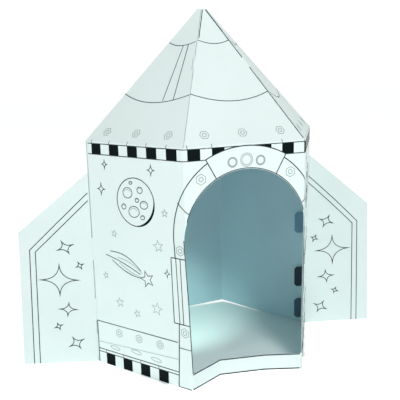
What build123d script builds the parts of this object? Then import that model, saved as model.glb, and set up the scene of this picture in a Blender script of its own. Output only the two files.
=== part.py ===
from build123d import *
from math import cos, radians, sqrt, tan
import os

# A hexagonal playhouse of single-wall card with a pointed roof and two flat side fins.
# Millimetres. +Z is up, the doorway faces -Y and the fins lie near the X axis.
# The origin is on the floor, under the tip of the roof.

# Card
board = 3.0                 # thickness of the card
fold_radius = 12.0          # outside radius of a soft upright fold
slip = 0.3                  # clearance between two sheets that lie or pass side by side

# Walls
panel_width = 440.0         # each of the six panels, from fold to fold
wall_height = 834.0         # floor to the fold under the roof
plan_flattening = 9.0       # the six-sided plan is this much shallower than a regular one, each way
sill_draw = 17.0            # the bent sill draws the folds beside the doorway together at the floor
side_draw = 15.0            # the right corner is drawn in at the floor
seam_setback = 2.0          # the rear sheet's upright edges stop this far before the side corners
gap_height = 11.0           # light gap under the rear sheet's right fold, where it stands off the floor
gap_left = 360.0            # how far the gap runs out to the left of that fold
gap_right = 130.0           # and to the right of it, measured across

# Roof
roof_rise = 472.0           # from the roof fold up to the point where the six roof planes would meet
tip_cut = 19.0              # the six roof panels end this far below that point
ridge_gap = 0.5             # between the inner edges of neighbouring roof panels

# Doorway
arch_overcut = 2.0          # the round head of the doorway runs this far past the folds beside it
arch_spring = 529.0         # height of the arch's centre
jamb_cover = 1.5            # at its foot the opening stops this far short of the folds beside it
foot_shift = 5.0            # and stands this far to the right of the middle
sill_height = 59.0          # strip left standing under the doorway

# Bent sill, measured from its left end along the door line and inward from it
crease_along = 134.0
crease_depth = 72.0
bend_along = 295.0
bend_depth = 45.0
bend_radius = 60.0

# Flaps that join the two sheets at the side corners
flap_width = 45.0
flap_end_relief = 14.0      # the flaps stop short of the floor and of the roof fold

# Locking tongues across the roof ridges
tongue_width = 46.0         # along the ridge
tongue_rise = 260.0         # height of a tongue's middle above the roof fold
tongue_cover = 4.0          # the part that lies on top, beyond the ridge
tongue_dip = 4.0            # the part that slopes down through the notch
tongue_reach = 24.0         # the part hidden under the neighbouring panel
tongue_root = 6.0           # overlap with the panel that carries the tongue
relief_radius = 3.2         # round hole at the upper end of each notch

# Fins
fin_inner_height = 720.0
fin_outer_height = 511.0
fin_width_base = 275.0
fin_width_top = 260.0       # at the upper outer corner
fin_swing_left = 17.5       # degrees that the left fin's free edge stands towards the back
fin_swing_right = 15.5      # degrees that the right fin's free edge stands towards the door
tab_heights = [68.0, 207.0, 439.0]
tab_length = 85.0
tab_reach = 45.0            # how far a tab goes in past the corner
tab_chamfer = 9.0
slot_depth = 20.0           # how far a tab's slot is cut in from the corner


# Plan of the walls at the roof fold and at the floor, corner by corner.
# Corner 0 is at the left, 1 and 2 are beside the doorway, 3 is at the right, 4 and 5 are behind.
half_panel = panel_width / 2
half_depth = panel_width * cos(radians(30)) - plan_flattening
side_run = sqrt(panel_width**2 - half_depth**2)
eaves = [
    Vector(-half_panel - side_run, 0),
    Vector(-half_panel, -half_depth),
    Vector(half_panel, -half_depth),
    Vector(half_panel + side_run, 0),
    Vector(half_panel, half_depth),
    Vector(-half_panel, half_depth),
]


def next_corner(start, across):
    """Far floor corner of a whole panel that runs back from start to a given place across."""
    return Vector(across, start.Y + sqrt(panel_width**2 - (across - start.X) ** 2))


half_chord = half_panel - sill_draw / 2
left_jamb = Vector(-half_chord, -half_depth)
right_jamb = Vector(half_chord, -half_depth)
left_foot = next_corner(left_jamb, -half_panel - side_run)
right_foot = next_corner(right_jamb, half_panel + side_run - side_draw)
footprint = [
    left_foot,
    left_jamb,
    right_jamb,
    right_foot,
    next_corner(right_foot, half_panel),
    next_corner(left_foot, -half_panel),
]
sill_points = [
    left_jamb + Vector(crease_along, crease_depth),
    left_jamb + Vector(bend_along, bend_depth),
]
arch_radius = half_panel + arch_overcut
peak = Vector(0, 0, wall_height + roof_rise)


def flap_line(corners, corner, rear, front):
    """Fold and free end of a seam flap, which lies against the inside of the rear panel."""
    along_rear = (corners[rear] - corners[corner]).normalized()
    along_front = (corners[front] - corners[corner]).normalized()
    fold = corners[corner] + along_front * ((board + slip) / along_rear.cross(along_front).length)
    return fold, fold + along_rear * flap_width


def front_line(corners, between=()):
    """Outer line of the front sheet in plan, from the left flap round to the right flap."""
    left_fold, left_end = flap_line(corners, 0, 5, 1)
    right_fold, right_end = flap_line(corners, 3, 4, 2)
    return [left_end, left_fold, corners[1], *between, corners[2], right_fold, right_end]


def rear_line(corners):
    """Outer line of the rear sheet in plan, from the right corner round to the left corner."""
    start = corners[3] + (corners[4] - corners[3]).normalized() * seam_setback
    end = corners[0] + (corners[5] - corners[0]).normalized() * seam_setback
    return [start, corners[4], corners[5], end]


def eave(corner):
    """Corner of the roof fold in space."""
    return eaves[corner % 6] + Vector(0, 0, wall_height)


def panel_plane(panel):
    """Outer plane of a roof panel: x along its fold, y up the slope, z outwards."""
    left = eave(panel)
    right = eave(panel + 1)
    along = (right - left).normalized()
    return Plane(origin=(left + right) * 0.5, x_dir=along, z_dir=along.cross(peak - left))


def ridge_turn(corner):
    """Degrees between the two roof panels that meet at a ridge."""
    return panel_plane(corner - 1).z_dir.get_angle(panel_plane(corner).z_dir)


def ridge_setback(corner):
    """Distance from the ridge to a panel's square-cut edge, so that the inner edges just clear."""
    return board * tan(radians(ridge_turn(corner) / 2)) + ridge_gap / 2


def panel_outline(panel):
    """Four corners of a roof panel in its own plane, from the lower left round to the upper left."""
    plane = panel_plane(panel)
    top = plane.to_local_coords(peak)
    trim = top.Y * (1 - tip_cut / roof_rise)
    sides = []
    for corner, inward in ((panel, 1), (panel + 1, -1)):
        base = plane.to_local_coords(eave(corner))
        edge = top - base
        shift = Vector(inward * ridge_setback(corner) * edge.length / edge.Y, 0)
        sides.append((base + shift, base + edge * (trim / edge.Y) + shift))
    (lower_left, upper_left), (lower_right, upper_right) = sides
    return [lower_left, lower_right, upper_right, upper_left]


def ridge_plane(corner):
    """Section across a ridge at tongue height: x towards the next panel, y inwards, z up the ridge."""
    up = (peak - eave(corner)).normalized()
    middle = eave(corner) + up * (tongue_rise / up.Z)
    return Plane(origin=middle, x_dir=up.cross(eaves[corner]), z_dir=up)


def neighbour_axes(corner, side):
    """In the ridge section: the line down the panel on that side, and the line inwards from it."""
    half_turn = radians(ridge_turn(corner) / 2)
    along = Vector(side, tan(half_turn)).normalized()
    return along, Vector(-side * along.Y, abs(along.X))


def tongue_line(corner, side):
    """Outer line of a tongue: on its own panel, over the ridge, then under the next panel."""
    own, _ = neighbour_axes(corner, -side)
    along, inward = neighbour_axes(corner, side)
    under = inward * (board + slip)
    return [
        own * (ridge_setback(corner) + tongue_root),
        Vector(0, 0),
        along * tongue_cover,
        along * (tongue_cover + tongue_dip) + under,
        along * (tongue_cover + tongue_dip + tongue_reach) + under,
    ]


def notch_outline(corner, side):
    """Section of the notch in the neighbouring panel's edge that lets a tongue through."""
    along, inward = neighbour_axes(corner, side)
    depth = tongue_cover + tongue_dip + slip
    return [
        Vector(0, -board),
        along * depth - inward * board,
        along * depth + inward * board * 2,
        Vector(0, board * 2),
    ]


def relief_plane(corner, side):
    """Plane on the neighbouring panel at the upper end of a notch, with z inwards."""
    section = ridge_plane(corner)
    along, inward = neighbour_axes(corner, side)
    centre = along * (tongue_cover + tongue_dip - relief_radius) + Vector(0, 0, tongue_width / 2)
    start = section.from_local_coords(centre)
    return Plane(origin=start, z_dir=section.from_local_coords(centre + inward) - start)


def fin_plane(foot, swing):
    """Middle plane of a fin: x outwards from the corner's foot, y up."""
    outward = Vector(foot.X, 0).normalized().rotate(Axis.Z, swing)
    return Plane(origin=foot, x_dir=outward, z_dir=outward.cross(Vector(0, 0, 1)))


left_fin_plane = fin_plane(left_foot, -fin_swing_left)
right_fin_plane = fin_plane(right_foot, -fin_swing_right)


# Front sheet: three walls, three roof panels and two seam flaps, folded from one piece.
# The doorway is cut out of its middle wall and leaves the bent sill. In the pairs below, the
# first number is a ridge's corner and the second the side that its tongue reaches to. The door
# panel and the rear middle panel reach both ways, and the front sheet reaches over to the rear.
with BuildPart() as front_sheet:
    with BuildSketch(Plane.XY):
        with BuildLine():
            bend_radii = [fold_radius, fold_radius, fold_radius, bend_radius, fold_radius, fold_radius]
            FilletPolyline(front_line(footprint, sill_points), radius=bend_radii)
            offset(amount=board, side=Side.LEFT)
        make_face()
    extrude(amount=sill_height)
    for corners, level in ((footprint, sill_height), (eaves, wall_height)):
        with BuildSketch(Plane.XY.offset(level)):
            with BuildLine():
                FilletPolyline(front_line(corners), radius=fold_radius)
                offset(amount=board, side=Side.LEFT)
            make_face()
    loft(ruled=True)
    for level in (0, wall_height - flap_end_relief):
        with BuildSketch(Plane.XY.offset(level)):
            Rectangle(3 * panel_width, 2 * flap_width, align=(Align.CENTER, Align.MIN))
        extrude(amount=flap_end_relief, mode=Mode.SUBTRACT)
    for panel in (0, 1, 2):
        with BuildSketch(panel_plane(panel)):
            Polygon(panel_outline(panel), align=None)
        extrude(amount=-board)
    with BuildSketch(Plane.XZ.offset(half_depth)):
        foot = half_chord - jamb_cover
        Polygon(
            (foot_shift - foot, sill_height),
            (foot_shift + foot, sill_height),
            (arch_radius, arch_spring),
            (-arch_radius, arch_spring),
            align=None,
        )
        with Locations((0, arch_spring)):
            Circle(arch_radius)
    extrude(amount=arch_radius / 4, both=True, mode=Mode.SUBTRACT)
    for corner, side in ((1, -1), (2, 1)):
        with BuildSketch(ridge_plane(corner)):
            Polygon(notch_outline(corner, side), align=None)
        extrude(amount=tongue_width / 2 + slip, both=True, mode=Mode.SUBTRACT)
        with BuildSketch(relief_plane(corner, side)):
            Circle(relief_radius)
        extrude(amount=board * 2, both=True, mode=Mode.SUBTRACT)
    for corner, side in ((0, -1), (1, -1), (2, 1), (3, 1)):
        with BuildSketch(ridge_plane(corner)):
            with BuildLine():
                Polyline(tongue_line(corner, side))
                offset(amount=board, side=Side.LEFT if side > 0 else Side.RIGHT)
            make_face()
        extrude(amount=tongue_width / 2, both=True)
    for plane in (left_fin_plane, right_fin_plane):
        with BuildSketch(plane):
            for height in tab_heights:
                with Locations((0, height)):
                    Rectangle(2 * slot_depth, tab_length + 2 * slip)
        extrude(amount=board / 2 + slip, both=True, mode=Mode.SUBTRACT)


# Rear sheet: the other three walls and roof panels, folded from one piece.
# Its upright edges lie over the front sheet's flaps and are notched for the fins' tabs, and its
# lower edge stands a little off the floor about its right fold.
with BuildPart() as rear_sheet:
    with BuildSketch(Plane.XY):
        with BuildLine():
            FilletPolyline(rear_line(footprint), radius=fold_radius)
            offset(amount=board, side=Side.LEFT)
        make_face()
    extrude(amount=sill_height)
    for corners, level in ((footprint, sill_height), (eaves, wall_height)):
        with BuildSketch(Plane.XY.offset(level)):
            with BuildLine():
                FilletPolyline(rear_line(corners), radius=fold_radius)
                offset(amount=board, side=Side.LEFT)
            make_face()
    loft(ruled=True)
    with BuildSketch(Plane.XZ):
        Polygon(
            (half_panel - gap_left, 0),
            (half_panel + gap_right, 0),
            (half_panel, gap_height),
            align=None,
        )
    extrude(amount=-panel_width, mode=Mode.SUBTRACT)
    for panel in (3, 4, 5):
        with BuildSketch(panel_plane(panel)):
            Polygon(panel_outline(panel), align=None)
        extrude(amount=-board)
    for corner, side in ((0, -1), (3, 1), (4, -1), (5, 1)):
        with BuildSketch(ridge_plane(corner)):
            Polygon(notch_outline(corner, side), align=None)
        extrude(amount=tongue_width / 2 + slip, both=True, mode=Mode.SUBTRACT)
        with BuildSketch(relief_plane(corner, side)):
            Circle(relief_radius)
        extrude(amount=board * 2, both=True, mode=Mode.SUBTRACT)
    for corner, side in ((4, -1), (5, 1)):
        with BuildSketch(ridge_plane(corner)):
            with BuildLine():
                Polyline(tongue_line(corner, side))
                offset(amount=board, side=Side.LEFT if side > 0 else Side.RIGHT)
            make_face()
        extrude(amount=tongue_width / 2, both=True)
    for plane in (left_fin_plane, right_fin_plane):
        with BuildSketch(plane):
            for height in tab_heights:
                with Locations((0, height)):
                    Rectangle(2 * slot_depth, tab_length + 2 * slip)
        extrude(amount=board / 2 + slip, both=True, mode=Mode.SUBTRACT)


# Fins: flat sheets that stand on the floor, each held by three tabs in the slots of a side corner.
fins = []
for name, plane, top in (("left_fin", left_fin_plane, eaves[0]), ("right_fin", right_fin_plane, eaves[3])):
    lean = (top - plane.origin).dot(plane.x_dir) * fin_inner_height / wall_height
    with BuildPart() as fin:
        with BuildSketch(plane):
            Polygon(
                (slip, 0),
                (fin_width_base, 0),
                (fin_width_top, fin_outer_height),
                (slip + lean, fin_inner_height),
                align=None,
            )
            for height in tab_heights:
                with Locations((0, height)):
                    Polygon(
                        (abs(lean) + tab_chamfer, -tab_length / 2),
                        (abs(lean) + tab_chamfer, tab_length / 2),
                        (tab_chamfer - tab_reach, tab_length / 2),
                        (-tab_reach, tab_length / 2 - tab_chamfer),
                        (-tab_reach, tab_chamfer - tab_length / 2),
                        (tab_chamfer - tab_reach, -tab_length / 2),
                        align=None,
                    )
        extrude(amount=board / 2, both=True)
    fin.part.label = name
    fins.append(fin.part)


front_sheet.part.label = "front_sheet"
rear_sheet.part.label = "rear_sheet"

os.makedirs("parts", exist_ok=True)
export_step(front_sheet.part, "parts/front_sheet.step")
export_step(rear_sheet.part, "parts/rear_sheet.step")
for fin in fins:
    export_step(fin, f"parts/{fin.label}.step")
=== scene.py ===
from math import cos, radians, sin, sqrt

import bpy
import numpy as np
from mathutils import Matrix, Vector


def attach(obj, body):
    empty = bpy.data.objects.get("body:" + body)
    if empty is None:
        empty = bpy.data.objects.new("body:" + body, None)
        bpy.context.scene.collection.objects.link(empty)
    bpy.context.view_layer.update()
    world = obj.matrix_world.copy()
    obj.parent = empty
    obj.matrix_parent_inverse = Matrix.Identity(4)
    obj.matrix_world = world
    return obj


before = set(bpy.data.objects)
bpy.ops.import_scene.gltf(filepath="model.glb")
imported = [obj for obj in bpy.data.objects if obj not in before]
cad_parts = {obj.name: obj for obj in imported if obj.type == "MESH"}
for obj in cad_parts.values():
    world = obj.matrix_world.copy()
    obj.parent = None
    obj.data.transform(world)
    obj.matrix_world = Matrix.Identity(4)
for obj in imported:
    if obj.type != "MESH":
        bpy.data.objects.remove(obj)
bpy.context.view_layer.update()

# Camera, background, lamps and floor
# The camera stands in front of the doorway and to the left of it, a little above the middle of the
# playhouse, and looks slightly down. The background is white only where it is seen, and the pale
# floor glows outside the walls, so that only the floor inside the cabin is dim.
scene = bpy.context.scene
scene.view_settings.view_transform = "Standard"
scene.view_settings.look = "None"

yaw = radians(20.86)
pitch = radians(11.74)
roll = radians(-1.37)
ahead = Vector((sin(yaw) * cos(pitch), cos(yaw) * cos(pitch), -sin(pitch)))
level = Vector((cos(yaw), -sin(yaw), 0))
upright = level.cross(ahead)
right = level * cos(roll) + upright * sin(roll)
up = upright * cos(roll) - level * sin(roll)
camera = bpy.data.objects.new("camera", bpy.data.cameras.new("camera"))
camera.data.lens = 59.83
camera.data.sensor_width = 36
camera.data.clip_end = 60
camera_turn = Matrix((right, up, -ahead)).transposed().to_4x4()
camera.matrix_world = Matrix.Translation((-0.9161, -2.3373, 1.0989)) @ camera_turn
scene.collection.objects.link(camera)
scene.camera = camera


def reckon(tree, kind, *values):
    """Arithmetic node of a shader tree, fed by numbers or by other nodes."""
    node = tree.nodes.new("ShaderNodeMath")
    node.operation = kind
    for socket, value in zip(node.inputs, values):
        if isinstance(value, (int, float)):
            socket.default_value = value
        else:
            tree.links.new(value, socket)
    return node.outputs[0]


def along(tree, place, direction):
    """Distance of a place along a direction: the dot product of the two."""
    node = tree.nodes.new("ShaderNodeVectorMath")
    node.operation = "DOT_PRODUCT"
    tree.links.new(place, node.inputs[0])
    if isinstance(direction, tuple):
        node.inputs[1].default_value = direction
    else:
        tree.links.new(direction, node.inputs[1])
    return node.outputs["Value"]


def ramp(tree, value, low, high, top=1.0, kind="SMOOTHSTEP"):
    """Share that rises from 0 at low to its top at high."""
    node = tree.nodes.new("ShaderNodeMapRange")
    node.interpolation_type = kind
    node.inputs["From Min"].default_value = low
    node.inputs["From Max"].default_value = high
    node.inputs["To Max"].default_value = top
    tree.links.new(value, node.inputs["Value"])
    return node.outputs["Result"]


world = bpy.data.worlds.new("studio")
world.use_nodes = True
scene.world = world
sky_tree = world.node_tree
sky_tree.nodes.clear()
room = sky_tree.nodes.new("ShaderNodeBackground")
room.inputs["Color"].default_value = (0.985, 1.0, 1.0, 1)
room.inputs["Strength"].default_value = 0.33
white = sky_tree.nodes.new("ShaderNodeBackground")
white.inputs["Color"].default_value = (1, 1, 1, 1)
white.inputs["Strength"].default_value = 1.05
ray = sky_tree.nodes.new("ShaderNodeLightPath").outputs
seen = reckon(sky_tree, "MAXIMUM", ray["Is Camera Ray"], ray["Is Glossy Ray"])
seen = reckon(sky_tree, "MAXIMUM", seen, ray["Is Transmission Ray"])
choice = sky_tree.nodes.new("ShaderNodeMixShader")
output = sky_tree.nodes.new("ShaderNodeOutputWorld")
sky_tree.links.new(seen, choice.inputs["Fac"])
sky_tree.links.new(room.outputs[0], choice.inputs[1])
sky_tree.links.new(white.outputs[0], choice.inputs[2])
sky_tree.links.new(choice.outputs[0], output.inputs["Surface"])


def hang(lamp, place, target):
    """Lamp at a place, turned to a target."""
    holder = bpy.data.objects.new(lamp.name, lamp)
    holder.location = place
    holder.rotation_euler = (target - place).to_track_quat("-Z", "Y").to_euler()
    scene.collection.objects.link(holder)


def soft_light(name, bearing, height, size, watts, colour):
    """Soft lamp 4.5 m away, at a bearing in degrees to the right of the doorway's own direction and
    at a height in degrees, turned to the playhouse. The size is its width and its height."""
    lamp = bpy.data.lights.new(name, "AREA")
    lamp.shape = "RECTANGLE"
    lamp.size, lamp.size_y = size
    lamp.energy = watts
    lamp.color = colour
    a, b = radians(bearing), radians(height)
    middle = Vector((0, 0, 0.5))
    hang(lamp, middle + 4.5 * Vector((sin(a) * cos(b), -cos(a) * cos(b), sin(b))), middle)


soft_light("key_light", 1, 52, (0.8, 2.8), 85, (1.0, 1.0, 0.98))
soft_light("front_light", -15, 10, (2.4, 2.0), 3, (1.0, 1.0, 1.0))
soft_light("left_light", -57, 14, (2.4, 2.0), 19, (0.97, 1.0, 1.0))

# A small lamp behind the left jamb gives the soft light on the cabin's floor and on its rear wall.
cabin_light = bpy.data.lights.new("cabin_light", "SPOT")
cabin_light.energy = 13
cabin_light.spot_size = radians(56)
cabin_light.spot_blend = 0.9
cabin_light.shadow_soft_size = 0.04
cabin_light.color = (0.74, 1.0, 0.93)
hang(cabin_light, Vector((-0.26, -0.2, 0.6)), Vector((-0.08, 0.22, 0.02)))

floor_half = 20.0
floor_level = -0.0006
floor_mesh = bpy.data.meshes.new("studio_floor")
floor_corners = [
    (-floor_half, -floor_half, floor_level), (floor_half, -floor_half, floor_level),
    (floor_half, floor_half, floor_level), (-floor_half, floor_half, floor_level),
]
floor_mesh.from_pydata(floor_corners, [], [(0, 1, 2, 3)])
floor = bpy.data.objects.new("studio_floor", floor_mesh)
scene.collection.objects.link(floor)
floor_look = bpy.data.materials.new("studio_floor")
floor_look.use_nodes = True
floor_tree = floor_look.node_tree
floor_shader = floor_tree.nodes["Principled BSDF"]
floor_shader.inputs["Base Color"].default_value = (0.9, 0.97, 0.955, 1)
floor_shader.inputs["Roughness"].default_value = 0.9
floor_shader.inputs["Specular IOR Level"].default_value = 0.1
floor_shader.inputs["Emission Strength"].default_value = 1.0
floor_place = floor_tree.nodes.new("ShaderNodeTexCoord").outputs["Object"]

# The glow starts beyond each of the six walls; in front, the bent sill hides where it starts.
glow_tone = 0.67
slant = (sin(radians(60)), cos(radians(60)))
glow = 0.0
for direction, start, full in (
    ((slant[0], slant[1], 0), 0.383, 0.395),
    ((slant[0], -slant[1], 0), 0.373, 0.39),
    ((-slant[0], slant[1], 0), 0.38, 0.4),
    ((-slant[0], -slant[1], 0), 0.38, 0.4),
    ((0, 1, 0), 0.378, 0.392),
    ((0, -1, 0), 0.28, 0.31),
):
    beyond = ramp(floor_tree, along(floor_tree, floor_place, direction), start, full, glow_tone, "LINEAR")
    glow = reckon(floor_tree, "MAXIMUM", glow, beyond)
floor_tree.links.new(glow, floor_shader.inputs["Emission Color"])
floor_mesh.materials.append(floor_look)

# Card of the two house sheets and the two fins
# White-faced corrugated card, cut and folded: a matt printed side out, and a liner in whose blue-grey
# is darker than the card, as painted shade of the cabin's inside, and cut edges that show the fluting.
# The solids of the sheets keep their shape and take this finish.


def noise(tree, place, scale, detail, stretch=(1, 1, 1)):
    """Noise on the object's own coordinates, stretched by axis."""
    turn = tree.nodes.new("ShaderNodeMapping")
    turn.inputs["Scale"].default_value = stretch
    tree.links.new(place, turn.inputs["Vector"])
    grain = tree.nodes.new("ShaderNodeTexNoise")
    grain.inputs["Scale"].default_value = scale
    grain.inputs["Detail"].default_value = detail
    tree.links.new(turn.outputs[0], grain.inputs["Vector"])
    return grain.outputs["Fac"]


def blend(tree, share, low, high):
    """Mix of two colours by a share from 0 to 1."""
    mix = tree.nodes.new("ShaderNodeMix")
    mix.data_type = "RGBA"
    for socket, value in ((mix.inputs[0], share), (mix.inputs[6], low), (mix.inputs[7], high)):
        if isinstance(value, tuple):
            socket.default_value = (*value, 1)
        else:
            tree.links.new(value, socket)
    return mix.outputs[2]


def uneven(tree, share, colour, darker):
    """Colour that goes over to a darker tone of itself where the share is 1."""
    return blend(tree, share, colour, tuple(c * darker for c in colour))


def split(tree, vector):
    """The three parts of a vector, by axis."""
    parts = tree.nodes.new("ShaderNodeSeparateXYZ")
    tree.links.new(vector, parts.inputs[0])
    return parts.outputs


def card_look(name, colour_at):
    """Matt card with the faint relief of its fibres and flutes. The colour at a place comes from
    colour_at, which is given the shader tree, the place and the share of the mottling."""
    look = bpy.data.materials.new(name)
    look.use_nodes = True
    tree = look.node_tree
    shader = tree.nodes["Principled BSDF"]
    shader.inputs["Roughness"].default_value = 0.62
    shader.inputs["Specular IOR Level"].default_value = 0.28
    place = tree.nodes.new("ShaderNodeTexCoord").outputs["Object"]
    mottle = ramp(tree, noise(tree, place, 5.0, 4), 0.3, 0.7)
    tree.links.new(colour_at(tree, place, mottle), shader.inputs["Base Color"])
    ripple = noise(tree, place, 70.0, 1, (1, 1, 0.03))
    fibre = noise(tree, place, 420.0, 3)
    bump = tree.nodes.new("ShaderNodeBump")
    bump.inputs["Strength"].default_value = 0.12
    bump.inputs["Distance"].default_value = 0.0006
    tree.links.new(reckon(tree, "MULTIPLY_ADD", ripple, 0.5, fibre), bump.inputs["Height"])
    tree.links.new(bump.outputs[0], shader.inputs["Normal"])
    return look


def house_colour(tree, place, mottle):
    """Printed face where the surface looks away from the middle of the cabin, liner where it looks
    towards it, its blue-grey darkened as painted shade of the cabin's inside, and fluted board on the
    cut edges, which look neither way, or up or down. Below the top of the sill the limit is closer,
    since the bent sill itself looks partly sideways."""
    normal = tree.nodes.new("ShaderNodeNewGeometry").outputs["Normal"]
    from_middle = tree.nodes.new("ShaderNodeVectorMath")
    from_middle.operation = "SUBTRACT"
    from_middle.inputs[1].default_value = (0, 0, 0.6)
    tree.links.new(place, from_middle.inputs[0])
    outward = along(tree, from_middle.outputs[0], normal)
    sill_top = 0.0585
    edge_limit, limit_change = 0.28, -0.09
    beside_sill = reckon(tree, "LESS_THAN", split(tree, place)["Z"], sill_top)
    limit = reckon(tree, "MULTIPLY_ADD", beside_sill, limit_change, edge_limit)
    sideways = reckon(tree, "LESS_THAN", reckon(tree, "ABSOLUTE", outward), limit)
    flat = reckon(tree, "GREATER_THAN", reckon(tree, "ABSOLUTE", split(tree, normal)["Z"]), 0.9)
    flutes = ramp(tree, noise(tree, place, 60.0, 1, (1, 1, 0.02)), 0.35, 0.65)
    face = uneven(tree, mottle, (0.79, 0.9, 0.89), 0.975)
    # The liner's blue-grey is darker than the white card really is: painted shade of the cabin's inside.
    liner_with_painted_shade = uneven(tree, mottle, (0.55, 0.74, 0.8), 0.94)
    board = uneven(tree, flutes, (0.76, 0.84, 0.83), 0.82)
    sides = blend(tree, reckon(tree, "LESS_THAN", outward, 0.0), face, liner_with_painted_shade)
    return blend(tree, reckon(tree, "MAXIMUM", sideways, flat), sides, board)


def fin_colour(tree, place, mottle):
    """Printed face outside the cabin, darker than the house's face as painted shade. The tabs inside
    it, nearer the middle than the side corners, are coloured with painted shade by height, which is
    deepest on the middle one of the three."""
    across = reckon(tree, "ABSOLUTE", split(tree, place)["X"])
    height = split(tree, place)["Z"]
    corner_foot, corner_lean = 0.4224, 0.0193
    corner = reckon(tree, "MULTIPLY_ADD", height, corner_lean, corner_foot)
    # Painted shade on the white tabs inside the cabin, by height: darkest on the middle tab, lighter on
    # the low one, lightest on the top one.
    deepest_painted_shade = (0.03, 0.055, 0.07)
    painted_tab_shade = tree.nodes.new("ShaderNodeValToRGB")
    painted_tab_shade.color_ramp.interpolation = "CONSTANT"
    painted_tab_shade.color_ramp.elements[0].color = (*(c * 2.6 for c in deepest_painted_shade), 1)
    painted_tab_shade.color_ramp.elements[1].position = 0.14
    painted_tab_shade.color_ramp.elements[1].color = (*deepest_painted_shade, 1)
    painted_tab_shade.color_ramp.elements.new(0.33).color = (*(c * 6.5 for c in deepest_painted_shade), 1)
    tree.links.new(height, painted_tab_shade.inputs[0])
    # The fins' face is the house's white card made darker, as painted shade.
    face = uneven(tree, mottle, (0.71, 0.81, 0.8), 0.975)
    return blend(tree, reckon(tree, "LESS_THAN", across, corner), face, painted_tab_shade.outputs[0])


house_card = card_look("house_card", house_colour)
fin_card = card_look("fin_card", fin_colour)
for name, look in (
    ("front_sheet", house_card),
    ("rear_sheet", house_card),
    ("left_fin", fin_card),
    ("right_fin", fin_card),
):
    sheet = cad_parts[name]
    sheet.data.materials.clear()
    sheet.data.materials.append(look)

# Checkered bands and lines of the walls
# Printed in black and grey ink on the face of both house sheets, all round the cabin: a band of
# squares under the roof fold, and one on the floor with a double line, nuts and slots above it.
# The doorway cuts the lower band, and the upper one passes behind the border of the arch. A dark
# line up each fin's corner, from the floor to the lower band's top line, is painted shadow of the
# gap where the fin meets the wall.
panel = 440.0            # millimetres, as are all sizes of the print
wall_height = 834.0
sill_height = 59.0
fold_tangent = 7.7       # half the length that a soft fold takes out of the course of the walls
plan_flattening = 9.0
sill_draw = 8.5          # each fold beside the doorway is drawn in this far at the floor
side_draw = 15.0         # and the right corner this far
depth = panel * cos(radians(30)) - plan_flattening
side_run = sqrt(panel**2 - depth**2)
chord = panel / 2 - sill_draw
door_middle = 1.5 * panel          # measured round the walls
eaves = np.array([
    (-panel / 2 - side_run, 0), (-panel / 2, -depth), (panel / 2, -depth),
    (panel / 2 + side_run, 0), (panel / 2, depth), (-panel / 2, depth),
])


def far_corner(start, across):
    """Floor corner at a given place across, one panel's width back from start."""
    return np.array((across, start[1] + sqrt(panel**2 - (across - start[0]) ** 2)))


left_foot = far_corner((-chord, -depth), -panel / 2 - side_run)
right_foot = far_corner((chord, -depth), panel / 2 + side_run - side_draw)
feet = np.array([
    left_foot, (-chord, -depth), (chord, -depth),
    right_foot, far_corner(right_foot, panel / 2), far_corner(left_foot, -panel / 2),
])


def course(corners, s):
    """Point of a wall course at distance s round it: straight between the folds, and at a fold a
    parabola between its two tangent points. The seams at the side corners are sharp."""
    nearest = np.round(s / panel).astype(int)
    here = corners[nearest % 6]
    back = (here - corners[(nearest - 1) % 6]) / panel
    on = (corners[(nearest + 1) % 6] - here) / panel
    past = (s - nearest * panel)[:, None]
    share = np.clip((past + fold_tangent) / (2 * fold_tangent), 0, 1)
    bent = here - back * fold_tangent * (1 - share) ** 2 + on * fold_tangent * share**2
    straight = np.where(past < 0, here + back * past, here + on * past)
    soft = (np.abs(past) < fold_tangent) & (nearest % 3 != 0)[:, None]
    return np.where(soft, bent, straight)


def on_walls(points, lift):
    """Place on the walls in metres. The first number runs round from the left corner over the
    doorway, the second runs up, and lift is off the card, square to both."""

    def flat(s, v):
        """The course at a height is a mix of the one at the floor and the one at the roof fold."""
        share = np.clip((v - sill_height) / (wall_height - sill_height), 0, 1)[:, None]
        return np.column_stack((course(feet, s) * (1 - share) + course(eaves, s) * share, v))

    s, v = points[:, 0], points[:, 1]
    out = np.cross(flat(s + 1, v) - flat(s - 1, v), flat(s, v + 1) - flat(s, v - 1))
    out /= np.linalg.norm(out, axis=1)[:, None]
    return (flat(s, v) + out * lift) / 1000


def mirrored(side):
    """Walls for print measured on the left half of the front sheet: as they are for side -1, and
    mirrored about the middle of the doorway for side 1."""

    def place(points, lift):
        """The mirror image swaps distances before and past the doorway's middle."""
        if side < 0:
            return on_walls(points, lift)
        return on_walls(np.column_stack((2 * door_middle - points[:, 0], points[:, 1])), lift)

    return place


def at_height(s, v):
    """Points of a level line: each s at the one height v."""
    return np.column_stack((s, np.full(len(s), v)))


def ink_look(name, colour):
    """Printed ink: matt, and a little uneven in tone."""
    look = bpy.data.materials.new(name)
    look.use_nodes = True
    tree = look.node_tree
    shader = tree.nodes["Principled BSDF"]
    shader.inputs["Roughness"].default_value = 0.7
    shader.inputs["Specular IOR Level"].default_value = 0.05
    place = tree.nodes.new("ShaderNodeTexCoord").outputs["Object"]
    thin = tuple(c * 1.35 + 0.001 for c in colour)
    tree.links.new(blend(tree, noise(tree, place, 90, 4), colour, thin), shader.inputs["Base Color"])
    return look


inks = [
    ink_look("line_ink", (0.022, 0.034, 0.037)),
    ink_look("grey_ink", (0.3, 0.36, 0.36)),
    ink_look("black_ink", (0.002, 0.005, 0.006)),
]
dark, grey, black = range(3)


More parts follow.
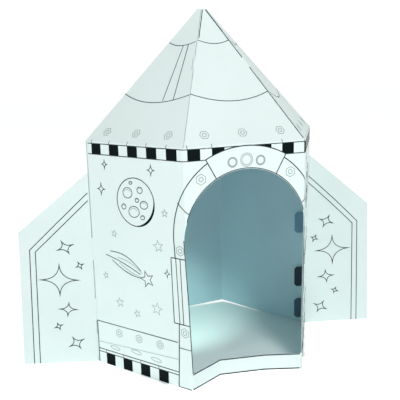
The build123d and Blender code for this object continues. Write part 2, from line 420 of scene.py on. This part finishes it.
class Print:
    """The strokes of one surface, which become one piece. A stroke is a closed strip between two
    lines: its top lies just off the card, and its bottom just in it."""

    sunk = 0.35          # how far in the card the bottom of a stroke lies
    sharpest = 0.45      # cosine past which a corner isn't mitred further

    def __init__(self):
        """An empty surface, with no strokes yet."""
        self.points = []
        self.faces = []
        self.inks = []
        self.count = 0

    def strip(self, place, left, right, ink, lift=0.4, closed=False):
        """Strip between two lines of the same length: four rows of points, joined by four rows of
        quads that are turned to face outwards, and by an end face at each end."""
        n = len(left)
        rows = np.concatenate([
            place(right, lift), place(left, lift), place(left, -self.sunk), place(right, -self.sunk)
        ])
        i = np.arange(n if closed else n - 1)
        j = (i + 1) % n
        starts = (0, n, 2 * n, 3 * n)
        quads = [
            np.column_stack((a + i, a + j, b + j, b + i))
            for a, b in zip(starts, starts[1:] + starts[:1])
        ]
        if not closed:
            quads.append(np.array([starts, [a + n - 1 for a in reversed(starts)]]))
        quads = np.concatenate(quads)
        first, second, last = rows[quads[0][0]], rows[quads[0][1]], rows[quads[0][3]]
        if np.cross(second - first, last - first) @ (first - rows[3 * n]) < 0:
            quads = quads[:, ::-1]
        self.points.append(rows)
        self.faces.append(quads + self.count)
        self.inks.append(np.full(len(quads), ink))
        self.count += 4 * n

    def stroke(self, place, line, width, ink=dark, lift=0.4, closed=False):
        """Pen stroke of even width along a line. It is mitred at a corner: moved sideways by half
        the width over the cosine of half the turn."""
        line = np.asarray(line, float)
        step = np.diff(np.vstack((line, line[:1])) if closed else line, axis=0)
        step /= np.hypot(step[:, 0], step[:, 1])[:, None] + 1e-9
        before = np.roll(step, 1, axis=0) if closed else np.vstack((step[:1], step))
        after = step if closed else np.vstack((step, step[-1:]))
        mean = before + after
        mean /= np.hypot(mean[:, 0], mean[:, 1])[:, None] + 1e-9
        share = np.clip((mean * after).sum(axis=1), self.sharpest, 1)
        aside = np.column_stack((-mean[:, 1], mean[:, 0])) * (width / 2 / share)[:, None]
        self.strip(place, line + aside, line - aside, ink, lift, closed)

    def ruled(self, place, start, end, width, ink=dark, lift=0.4):
        """Straight stroke, divided about every 5 mm so that it follows the card."""
        start, end = np.array(start, float), np.array(end, float)
        share = np.linspace(0, 1, max(2, int(np.hypot(*(end - start)) / 5) + 1))[:, None]
        self.stroke(place, start + (end - start) * share, width, ink, lift)

    def oval(self, place, centre, radii, width, ink, tilt=0.0, count=40):
        """Ellipse, its longer radius turned by tilt degrees."""
        a = np.linspace(0, 2 * np.pi, count, endpoint=False)
        x, y = radii[0] * np.cos(a), radii[1] * np.sin(a)
        c, s = cos(radians(tilt)), sin(radians(tilt))
        line = np.column_stack((centre[0] + x * c - y * s, centre[1] + x * s + y * c))
        self.stroke(place, line, width, ink, closed=True)

    def nut(self, place, centre, size, turned=0.0):
        """Hexagonal nut with its round hole, both in grey."""
        a = np.radians(turned + 60 * np.arange(6))
        ring = np.column_stack((np.cos(a), np.sin(a))) * size + centre
        share = np.linspace(0, 1, 4, endpoint=False)[:, None]
        ring = np.concatenate([p + (q - p) * share for p, q in zip(ring, np.roll(ring, -1, axis=0))])
        self.stroke(place, ring, 2.2, grey, closed=True)
        self.oval(place, centre, (size * 0.42, size * 0.42), 2.4, grey, count=24)

    def sparkle(self, place, centre, tall, wide, width):
        """Star of four points and hollow sides, given by the vectors to its upper and its side
        point. A side is a parabola from one point to the next that dips to the centre."""
        tips = np.array((tall, wide, np.negative(tall), np.negative(wide)), float)
        if np.cross(tips[0], tips[1]) < 0:
            tips = tips[::-1]
        t = np.linspace(0, 1, 12, endpoint=False)[:, None]
        sides = [p * (1 - t) ** 2 + q * t**2 for p, q in zip(tips, np.roll(tips, -1, axis=0))]
        self.stroke(place, np.concatenate(sides) + centre, width, closed=True)

    def star(self, place, centre, size, turned, width=2.2, ink=grey):
        """Star of five points: ten corners, at the full size and at 0.42 of it in turn."""
        a = np.radians(90 + turned + 36 * np.arange(10))
        reach = np.where(np.arange(10) % 2, 0.42, 1.0) * size
        ring = np.column_stack((np.cos(a), np.sin(a))) * reach[:, None] + centre
        self.stroke(place, ring, width, ink, closed=True)

    def piece(self, name):
        """The finished skin of print, riding on the playhouse."""
        mesh = bpy.data.meshes.new(name)
        mesh.from_pydata(np.concatenate(self.points), [], np.concatenate(self.faces))
        for look in inks:
            mesh.materials.append(look)
        mesh.polygons.foreach_set("material_index", np.concatenate(self.inks).astype(np.int32))
        mesh.update()
        skin = bpy.data.objects.new(name, mesh)
        scene.collection.objects.link(skin)
        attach(skin, "root")


arch_height = 529.0      # centre of the arch
keystone_radius = 299.0
side_arc = (274.0, 290.0)


def side_border(x):
    """Height above the arch's centre of its outer border at the sides: an ellipse."""
    return side_arc[1] * np.sqrt(np.maximum(1 - (x / side_arc[0]) ** 2, 0))


def arch_border(x):
    """Height of the outer border at x from the doorway's middle: the keystone's circle up to its
    side lines, and the sides' ellipse beyond them."""
    keystone = np.sqrt(np.maximum(keystone_radius**2 - x**2, 0))
    return arch_height + np.where(np.abs(x) < 145, keystone, side_border(x))


band_foot, band_top = 790.0, 827.5
square_width = 44.0
square_starts = np.arange(30.0, 2600.0, 84.6)
walls = Print()
for start, end in ((12, 520), (802, 1308), (1324, 2636)):
    for height in (band_foot, band_top):
        walls.stroke(on_walls, at_height(np.arange(start, end, 5.0), height), 2.8, lift=0.5)
over_door = np.arange(519.0, 802.0, 3.0)
for height in (band_foot, band_top):
    clear = over_door[arch_border(over_door - door_middle) < height]
    for part in (clear[clear < door_middle], clear[clear > door_middle]):
        if len(part) > 1:
            walls.stroke(on_walls, at_height(part, height), 2.6, lift=0.5)
for start in square_starts:
    if 3 * panel - 12 - square_width < start < 3 * panel + 6:
        continue
    across = np.linspace(start, start + square_width, 15)
    foot = np.full(15, band_foot)
    if 510 < start < 810:
        foot = np.maximum(foot, arch_border(across - door_middle))
    shown = foot < band_top - 0.5
    if shown.sum() > 1:
        across, foot = across[shown], foot[shown]
        walls.strip(on_walls, at_height(across, band_top), np.column_stack((across, foot)), black, 0.35)
    if not 610 < start < 710:
        walls.stroke(on_walls, [(start, band_top), (start, wall_height - 0.4)], 2.0)

foot_top, plate_foot, plate_top = 44.5, 56.0, 165.0
for start, end in ((9.0, 385.0), (935.0, 1311.0), (1326.0, 2634.0)):
    for height, width in ((plate_top, 3.0), (plate_foot, 2.8), (foot_top, 2.8)):
        walls.ruled(on_walls, (start, height), (end, height), width, lift=0.5)


def hem(s):
    """Lower edge of the print: on the floor, but over the light gap of the rear walls it rises to
    11 mm at the right fold, evenly from 360 mm to its left and from 130 mm to its right."""
    past = course(feet, s)[:, 0] - panel / 2
    share = np.where(past < 0, 1 + past / 360, 1 - past / 130)
    return np.where(s > 3 * panel, 11 * np.clip(share, 0, 1), 0) + 0.6


for first, last in ((46, 375), (983, 1300), (1345, 2600)):
    for start in np.arange(first, last, 83.3):
        across = np.linspace(start, min(start + 43, 2634), 9)
        foot = np.column_stack((across, hem(across)))
        walls.strip(on_walls, at_height(across, foot_top), foot, black, 0.35)
        walls.ruled(on_walls, (start, foot_top), (start, plate_foot), 2.0)
for side in (-1, 1):
    wall = mirrored(side)
    walls.ruled(wall, (9, 83), (385, 103), 2.0, grey)
    # Dark line up the corner at the foot: painted shadow of the gap where the fin meets the wall.
    walls.ruled(wall, (9, 1.2), (9, plate_top), 2.8)
    for centre in (116, 210, 306):
        walls.nut(wall, (centre, 137.0), 15.5, 90)
    for centre in ((92, 74), (195, 82), (286, 76)):
        walls.oval(wall, centre, (23, 6.5), 2.2, grey, tilt=4 * side)
for centre in (1440, 1540, 1640, 1880, 1980, 2080, 2320, 2420, 2520):
    walls.nut(on_walls, (centre, 137.0), 15.5, 90)
walls.piece("wall_bands")

# Border of the doorway
# Printed in the same inks round the opening, like a cut stone arch: a keystone with three rings,
# hex nuts, and on each jamb a plate above a plain foot. The bent sill, a strip of the front sheet
# left standing, has a line along both of its edges.
arch_radius = 222.0
side_wall_share = 0.545  # how much of a distance along a side wall lies across
border = Print()


def from_arch(reach, angle, wider=1.0):
    """Points at a reach from the centre of the arch and at an angle in degrees from upright,
    towards the left; wider stretches the reach sideways."""
    a = np.radians(angle)
    return np.column_stack((door_middle - reach * np.sin(a) * wider, arch_height + reach * np.cos(a)))


def at_jamb(v, side):
    """Where the opening's edge cuts the walls at height v, as s on the left half. The edge widens
    evenly from the sill to the arch, and lies past the fold where it is wider than the folds."""
    corner = chord + sill_draw * (v - sill_height) / (wall_height - sill_height)
    foot = 205.0 if side < 0 else 215.0
    edge = foot + (arch_radius - foot) * (v - sill_height) / (arch_height - sill_height)
    return panel + (corner - edge) * np.where(edge < corner, panel / 2 / corner, 1 / side_wall_share)


keystone_side = 29.0     # degrees from upright
jamb_line = 383.5        # s at the foot of the jamb's outer line
for side in (-1, 1):
    jamb = mirrored(side)

    def pen(line, width):
        """Dark stroke on one half of the border."""
        border.stroke(jamb, line, width, lift=0.5)

    x = side_arc[0] * np.sin(np.radians(np.linspace(30.6, 88.5, 44)))
    outer = np.column_stack((door_middle - x, arch_height + side_border(x)))
    down = np.column_stack((np.linspace(386.3, 389, 10), np.linspace(520, 464, 10)))
    pen(np.vstack((outer, down)), 3.4)
    pen(from_arch(keystone_radius, np.linspace(0, keystone_side, 20)), 3.4)
    pen(from_arch(np.linspace(226, keystone_radius, 12), keystone_side), 3.2)
    pen(from_arch(np.linspace(228, 281, 10), np.linspace(67, 63.8, 10)), 2.6)
    pen(from_arch(224.5, np.linspace(0, 74, 60), 1.005), 2.6)
    v = np.linspace(sill_height + 2, arch_height, 60)
    pen(np.column_stack((at_jamb(v, side) - 2.2, v)), 3.2)

    plate_low, plate_high = 234.0, 464.0
    for low, high, width in ((374, 371, 3.2), (398, 391, 2.8), (414, 409, 2.8)):
        pen([(low, plate_low), (high, plate_high)], width)
    for height, start, width in ((plate_low, 374, 3.2), (plate_high, 371, 3.2), (147.0, 389, 2.4)):
        end = at_jamb(np.array([height]), side)[0] - 3
        pen(at_height(np.linspace(start, end, 14), height), width)
    pen(np.column_stack((np.linspace(395, jamb_line, 20), np.linspace(plate_low, 1.6, 20))), 3.4)
    pen(at_height(np.linspace(383, 437, 12), 1.8), 3.0)
    for centre, size in (((411, 492), 17), ((417, 205), 17), ((door_middle - 162.8, 728), 18)):
        border.nut(jamb, centre, size, 90)
    border.oval(jamb, (door_middle - 51, arch_height + 247), (14.6, 14.6), 6.4, grey)
for radius in (22, 16.5):
    border.oval(on_walls, (door_middle, arch_height + 252), (radius, radius), 2.4, grey)

sill_bends = np.array([(0.0, 0.0), (134, 72), (295, 45), (2 * chord, 0)])
sill_line = [sill_bends[0]]
for i, radius in ((1, 12.0), (2, 60.0)):
    back = sill_bends[i - 1] - sill_bends[i]
    on = sill_bends[i + 1] - sill_bends[i]
    back /= np.linalg.norm(back)
    on /= np.linalg.norm(on)
    tangent = radius / np.tan(np.arccos(np.clip(back @ on, -1, 1)) / 2)
    t = np.linspace(0, 1, 9)[:, None]
    sill_line.extend(sill_bends[i] + back * tangent * (1 - t) ** 2 + on * tangent * t**2)
sill_line = np.array([*sill_line, sill_bends[3]])
sill_run = np.concatenate([[0], np.cumsum(np.hypot(*np.diff(sill_line, axis=0).T))])


def on_sill(points, lift):
    """Place on the bent sill in metres: the first number runs along its plan from the left fold,
    with a parabola at each bend, the second runs up, and lift is square to the plan."""

    def flat(s):
        """Point of the plan at a distance along it."""
        return np.column_stack([np.interp(s, sill_run, part) for part in sill_line.T])

    s = points[:, 0]
    course_on = flat(s + 2) - flat(s - 2)
    course_on /= np.hypot(course_on[:, 0], course_on[:, 1])[:, None] + 1e-9
    out = np.column_stack((course_on[:, 1], -course_on[:, 0]))
    return np.column_stack((flat(s) + out * lift + (-chord, -depth), points[:, 1])) / 1000


for height, width in ((57.0, 3.6), (2.5, 4.4)):
    border.stroke(on_sill, at_height(np.linspace(6.5, 444, 110), height), width, lift=0.5)
border.piece("doorway_border")

# Pictures on the left and the right wall
# A generic night sky printed in line: a full moon with craters above a comet, among small stars.
# The right wall has the mirror image of the left one.
picture = Print()
for side in (-1, 1):
    sky = mirrored(side)
    moon = np.array((225.0, 636.0))
    picture.oval(sky, moon, (84, 84), 3.0, dark, count=90)
    a = np.radians(np.linspace(-100, 22, 40))
    rim = np.column_stack((np.cos(a), np.sin(a)))
    crescent = 8.5 * np.sin(np.linspace(0, np.pi, 40))[:, None]
    picture.strip(sky, moon + rim * (85 - crescent), moon + rim * 85.5, black, 0.45)
    for x, y, r, squash in (
        (-34, 30, 21, 0.86), (22, 44, 12, 0.9), (38, -6, 17, 0.8), (-8, -34, 24, 0.8),
        (-54, -20, 10, 0.9), (8, 8, 8, 0.9), (30, -50, 9, 0.8), (-18, 66, 7, 0.7),
    ):
        crater = moon + (x, y)
        picture.oval(sky, crater, (r, r * squash), 2.4, dark, tilt=12)
        a = np.radians(np.linspace(20, 160, 14))
        wall = np.column_stack((np.cos(a) * r * 0.72, np.sin(a) * r * squash * 0.62))
        picture.stroke(sky, crater + wall, 1.8, grey)

    comet = np.array((262.0, 368.0))
    picture.star(sky, comet, 30, 18, 2.8, dark)
    t = np.linspace(0.16, 1, 26)[:, None]
    for bend, reach, off, paired in ((26, 168, 15, True), (6, 190, 0, False), (-16, 160, -17, True)):
        tail = np.column_stack((-reach * t, 62 * t + bend * np.sin(t * np.pi) + off * t))
        picture.stroke(sky, comet + tail, 2.6)
        if paired:
            rise = 50 * t + bend * 0.55 * np.sin(t * np.pi) + off * 0.6 * t
            picture.stroke(sky, comet + np.column_stack((-reach * 0.8 * t, rise)), 2.0, grey)

    for x, y, size, turned in (
        (318, 494, 21, 8), (118, 512, 13, -10), (128, 258, 18, 12), (300, 268, 23, -8),
        (208, 232, 14, 20), (352, 612, 13, 0), (66, 350, 12, 14),
    ):
        picture.star(sky, (x, y), size, turned)
    for x, y, tall, wide in ((88, 757, 17, 14), (66, 668, 23, 19), (300, 752, 20, 17), (352, 404, 16, 13)):
        picture.sparkle(sky, (x, y), (0, tall), (wide, 0), 2.2)
picture.piece("sky_picture")

# Roof print
# Printed on the six roof panels: three nuts above the fold, ticks that end those of the band, and
# two sagging lines that meet their neighbours at the ridges. The left panel and the one opposite
# to it also have two leaning lines from the lower sagging line to the upper one. The door panel
# is also ruled along its right edge and at the top of its left one. Near the roof's point the right
# edge's line widens, as painted shade of the open gap between the door panel and the right one.
roof_point = wall_height + 472     # where the planes of the six panels meet
slope = sqrt(depth**2 + (roof_point - wall_height) ** 2)


def on_roof(number):
    """A roof panel, counted from the left one, and found from its fold and the roof's point."""
    start = np.array((*eaves[number], wall_height))
    end = np.array((*eaves[(number + 1) % 6], wall_height))
    middle = (start + end) / 2
    across = (end - start) / np.linalg.norm(end - start)
    rise = np.array((0, 0, roof_point)) - middle
    rise /= np.linalg.norm(rise)
    out = np.cross(across, rise)

    def place(points, lift):
        """Sideways from the panel's middle, up its slope from the fold, and lift off the card."""
        return (middle + points[:, :1] * across + points[:, 1:] * rise + out * lift) / 1000

    return place


roof = Print()
for number in range(6):
    place = on_roof(number)
    for half, rise, sag in ((144.0, 205.0, 35.0), (59.0, 432.0, 16.0)):
        x = np.linspace(-half, half, 44)
        roof.stroke(place, np.column_stack((x, rise - sag * (1 - (x / half) ** 2))), 2.8)
    for centre in (-137.0, -2.0, 137.0):
        roof.nut(place, (centre, 43.0), 16)
    for x in square_starts - (number + 0.5) * panel:
        if abs(x) < 214 and not (number == 1 and abs(x) < 50):
            roof.ruled(place, (x, 0.5), (x, 8), 2.0)
    if number in (0, 3):
        roof.ruled(place, (42, 178), (12, 417), 2.6)
        roof.ruled(place, (86, 181), (33, 419), 2.6)
door_panel = on_roof(1)
# The wider stroke near the point is painted shade of the open gap between this panel and the right one.
for start, end, inset, width in (
    (6, 309, 4.2, 2.8), (352, 470, 4.2, 3.0), (470, 572, 4.2, 4.2), (440, 572, -5.5, 3.0),
):
    v = np.linspace(start, end, 40)
    edge = panel / 2 * (1 - v / slope)
    roof.stroke(door_panel, np.column_stack((np.sign(inset) * edge - inset, v)), width)
roof.piece("roof_print")

# Fin print
# Printed in dark ink on the side of each fin that faces the front: a double line along the free
# edges, and six sparkles. On the right fin it sits lower and closer to the house.


def on_fin(corner, swing):
    """A fin's printed side, found from its corner of the floor plan and its swing."""
    side = 1 if corner == 3 else -1
    outward = np.array((side * cos(swing), side * sin(swing), 0))
    out = np.array((sin(swing), -cos(swing), 0))
    foot = np.array((*feet[corner], 0))

    def place(points, lift):
        """Outwards from the corner, up, and lift off the card, which is 3 mm thick."""
        rise = points[:, 1:] * np.array((0, 0, 1))
        return (foot + points[:, :1] * outward + rise + out * (1.5 + lift)) / 1000

    return place


for name, corner, swing, shift_high, shift_low, lower in (
    ("left_fin_print", 0, radians(-17.5), 0, 0, 0),
    ("right_fin_print", 3, radians(-15.5), 6, 13, 8),
):
    fin = Print()
    place = on_fin(corner, swing)
    for line in (
        [(238, 1), (231, 222), (224, 444), (118, 543), (4, 648)],
        [(216, 1), (210, 218), (204, 436), (105, 527), (4, 620)],
    ):
        line = np.array(line, float)
        line[:3, 0] -= np.interp(line[:3, 1], (0, 444), (shift_low, shift_high))
        line[2:, 1] -= lower
        fin.stroke(place, line, 3.0)
    for x, y, tall, wide in (
        (96, 449, (14, 26), (-32, 11)),
        (47, 378, (7, 15), (-15, 6)),
        (124, 326, (-2, 64), (-75, -4)),
        (99, 211, (-4, 28), (-35, -3)),
        (138, 146, (5, 14), (-16, 6)),
        (76, 77, (15, 25), (-30, 15)),
    ):
        fin.sparkle(place, (x - shift_high * 1.5, y - lower), tall, wide, 2.8)
    fin.piece(name)
